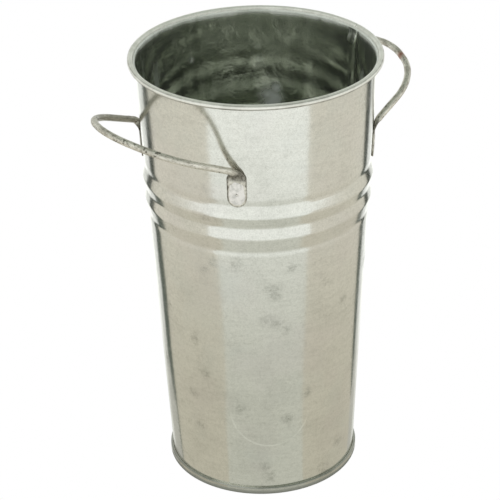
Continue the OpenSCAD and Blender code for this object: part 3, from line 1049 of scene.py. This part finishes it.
def make_world():
    """Bright near the horizon, dim overhead."""
    world = bpy.data.worlds.new("studio")
    bpy.context.scene.world = world
    world.use_nodes = True
    tree = world.node_tree
    background = tree.nodes["Background"]
    place = tree.nodes.new("ShaderNodeTexCoord")
    parts = tree.nodes.new("ShaderNodeSeparateXYZ")
    ramp = tree.nodes.new("ShaderNodeValToRGB")
    tree.links.new(place.outputs["Generated"], parts.inputs["Vector"])
    tree.links.new(parts.outputs["Z"], ramp.inputs["Fac"])
    tree.links.new(ramp.outputs["Color"], background.inputs["Color"])
    stops = ramp.color_ramp.elements
    stops[0].position, stops[0].color = 0.0, (1.02, 1.05, 1.02, 1)
    stops[1].position, stops[1].color = 1.0, (0.26, 0.31, 0.26, 1)
    for position, colour in ((0.2, (0.92, 0.94, 0.90, 1)), (0.45, (0.60, 0.63, 0.58, 1)),
                             (0.75, (0.42, 0.46, 0.41, 1))):
        stop = stops.new(position)
        stop.color = colour


def make_lamp(name, place, size, power):
    """A soft white lamp at a place seen from the camera's side, aimed at the bucket."""
    data = bpy.data.lights.new(name, "AREA")
    data.size, data.energy = size, power
    lamp = bpy.data.objects.new(name, data)
    lamp.location = TO_CAMERA @ Vector(place)
    aim = Vector((0, 0, 0.15)) - lamp.location
    lamp.rotation_euler = aim.to_track_quat("-Z", "Y").to_euler()
    bpy.context.scene.collection.objects.link(lamp)


# Borders of the panels that the wall mirrors, as the wall's facing from the camera's side:
# distance from the wall, the front panel's borders, and the dark gap's on the left and right
BORDERS = (
    (0, (-23, 26), (-63.5, -63.5), (69, 69)),
    (60, (-22.5, 25), (-63.5, -65), (69, 69)),
    (125, (-21, 24.5), (-65, -71), (67, 71.5)),
    (200, (-21.5, 25), (-62.5, -70), (66, 71)),
    (330, (-24, 25.5), (-63.5, -70), (65.5, 71)),
    (1500, (-25.5, 25.5), (-61.5, -67), (63.5, 70)),
)
# Where the wall turns far enough from the camera to mirror nearly everything
BRINK = 77
FARTHEST = 88


def make_studio():
    """The camera, the floor, the world's light, the mirrored sheets and one soft lamp."""
    make_camera()
    make_floor()
    make_world()
    white = glow("front_sheet", (0.605, 0.615, 0.545), (1.0, 1.03, 1.0), 0.10, 0.50)
    beige = glow("side_sheet", (0.585, 0.56, 0.465), (0.745, 0.725, 0.645), 0.06, 0.45)
    pale = glow("back_sheet", (0.52, 0.52, 0.47), (0.88, 0.90, 0.87), 0.07, 0.26)
    brink = glow("far_sheet", (0.78, 0.79, 0.74), (1.25, 1.27, 1.24), 0.07, 0.24)
    dark = glow("dark_gap", (0.10, 0.12, 0.10), (0.06, 0.07, 0.06))
    shade = glow("foot_shade", (0.26, 0.27, 0.24), (0.42, 0.43, 0.39), 0.055, 0.060)
    make_fan("front_fan", [(distance, *front) for distance, front, _, _ in BORDERS], white)
    # Each row: distance, front panel's border, and the gap's near and far border
    for side, name in enumerate(("left", "right")):
        sign = 2 * side - 1
        rows = [(row[0], row[1][side], *row[2 + side]) for row in BORDERS]
        make_fan(name + "_side_fan", [(d, edge, near) for d, edge, near, far in rows], beige)
        make_fan(name + "_gap_fan", [(d, near, far) for d, edge, near, far in rows], dark)
        make_fan(name + "_back_fan", [(d, far, sign * BRINK) for d, edge, near, far in rows], pale)
        make_fan(name + "_far_fan", [(row[0], sign * BRINK, sign * FARTHEST) for row in rows], brink)
    for name, end in (("front", 90), ("rear", 270)):
        make_fan(name + "_foot_shade", [(d, end - 180, end) for d in (-1, 2, 5)], shade, -0.3)
    make_lamp("key", (-1.4, -1.6, 2.6), 2.6, 14.0)
    bpy.context.scene.view_settings.view_transform = "Standard"
    # Light leaves the bright inside only after many reflections
    bpy.context.scene.cycles.glossy_bounces = 14
    bpy.context.scene.cycles.max_bounces = 16


# --- Assembly --------------------------------------------------------------------------

def make_bucket():
    """All the pieces. The wire inside the rim keeps its CAD shape."""
    sheet = galvanised("galvanised_sheet", (0.83, 0.825, 0.775), (0.47, 0.47, 0.43), 0.12)
    base = galvanised("galvanised_base", (0.68, 0.68, 0.635), (0.41, 0.41, 0.375), 0.16)
    materials = {"sheet": sheet, "base": base, "inside": worn_inside(), "rim": worn_rim(),
                 "sealant": sealant()}
    make_wall(materials)
    make_base(materials)
    make_sealant(materials)
    wire = weathered_wire()
    make_handle("handle_right_wire", "handle_right", RIGHT_SHAPE, 0.0, 3.0, wire)
    make_handle("handle_left_wire", "handle_left", LEFT_SHAPE, math.pi, 11.0, wire)
    paint = zinc_paint()
    for seed, (node, angle) in enumerate((
            ("weld_right_front", -TAB_ANGLE), ("weld_right_back", TAB_ANGLE),
            ("weld_left_front", math.pi + TAB_ANGLE), ("weld_left_back", math.pi - TAB_ANGLE))):
        make_weld(node, angle, 4.0 * seed + 1, paint)
    hidden_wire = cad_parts["rim_wire"]
    hidden_wire.data.materials.clear()
    hidden_wire.data.materials.append(drawn_wire())


make_studio()
make_bucket()
